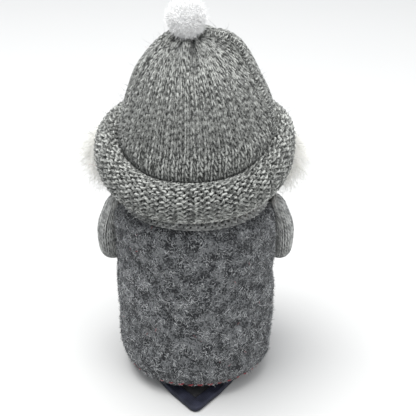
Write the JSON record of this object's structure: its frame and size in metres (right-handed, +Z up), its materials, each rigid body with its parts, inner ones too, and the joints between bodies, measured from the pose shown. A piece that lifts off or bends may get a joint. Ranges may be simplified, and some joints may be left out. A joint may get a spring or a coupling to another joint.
{
  "type": "sock puppet",
  "caption": "Glove puppet of a bearded gnome in a knitted hat with a rolled brim and pompom, on a pointed display stand with a post.",
  "frame": {"origin": "on the post's axis, on the underside of the stand's felt pad", "axes": "+Z up along the post, -Y the way the puppet's face looks, +X the puppet's left-hand side"},
  "size_m": [0.0932, 0.0835, 0.1609],
  "materials": {
    "felt_black": "matt felt",
    "steel": "satin dark paint",
    "navy_leather": "semi-matt, stitched",
    "brass": "satin",
    "beech": "oiled",
    "screw_steel": "plain",
    "wool_felt": "boiled wool, marled grey",
    "cotton": "plain weave",
    "red_thread": "thread",
    "arm_knit": "fine rib knit",
    "cord": "twisted cord",
    "card": "plain",
    "filling": "fibre filling",
    "skin_cloth": "stretch cloth",
    "nose_felt": "felt",
    "hat_knit": "marled stockinette",
    "fleece": "long fibres",
    "mitten_felt": "felt",
    "thread": "thread",
    "button": "matt",
    "pompom_wool": "fluffy"
  },
  "bodies": {
    "stand": {"base_pad": "felt_black", "base_plate": "steel", "base_rim": "navy_leather", "base_inlay": "felt_black", "post_ferrule": "brass", "stand_post": "beech", "post_knob": "beech", "post_screw": "screw_steel"},
    "puppet": {"wool_sleeve": "wool_felt", "sleeve_lining": "cotton", "hem_stitching": "red_thread", "neck_yoke": "arm_knit"},
    "neck": {"neck_gather": "cotton", "neck_tie": "cord"},
    "head": {"finger_tube": "card", "tube_cap": "card", "head_stuffing": "filling", "head_cover": "skin_cloth", "nose": "nose_felt", "hat_crown": "hat_knit", "hat_brim": "hat_knit", "hat_seam": "hat_knit", "hat_stuffing": "filling", "beard": "fleece", "left_tuft": "fleece", "right_tuft": "fleece"},
    "left_arm": {"left_arm": "arm_knit", "left_mitten": "mitten_felt", "left_arm_thread": "thread", "left_arm_button": "button"},
    "right_arm": {"right_arm": "arm_knit", "right_mitten": "mitten_felt", "right_arm_thread": "thread", "right_arm_button": "button"},
    "pompom": {"pompom": "pompom_wool", "pompom_tie": "thread"}
  },
  "joints": [
    {"name": "puppet_lift", "type": "slide", "parent": "stand", "child": "puppet", "axis": [0, 0, 1], "range_m": [0, 0.11]},
    {"name": "head_nod", "type": "hinge", "parent": "puppet", "child": "neck", "pos_m": [0, 0, 0.0965], "axis": [1, 0, 0], "range_deg": [-3, 8]},
    {"name": "head_turn", "type": "hinge", "parent": "neck", "child": "head", "pos_m": [0, 0, 0.0965], "axis": [0, 0, 1], "range_deg": [-25, 25]},
    {"name": "left_arm_swing", "type": "hinge", "parent": "puppet", "child": "left_arm", "pos_m": [0.0362, 0, 0.07], "axis": [-1, 0, 0], "range_deg": [-15, 60]},
    {"name": "right_arm_swing", "type": "hinge", "parent": "puppet", "child": "right_arm", "pos_m": [-0.0362, 0, 0.07], "axis": [-1, 0, 0], "range_deg": [-15, 60]},
    {"name": "pompom_sway", "type": "hinge", "parent": "head", "child": "pompom", "pos_m": [0.00215, 0.01192, 0.14579], "axis": [0.999, -0.0106, -0.0423], "range_deg": [-14, 14]}
  ]
}
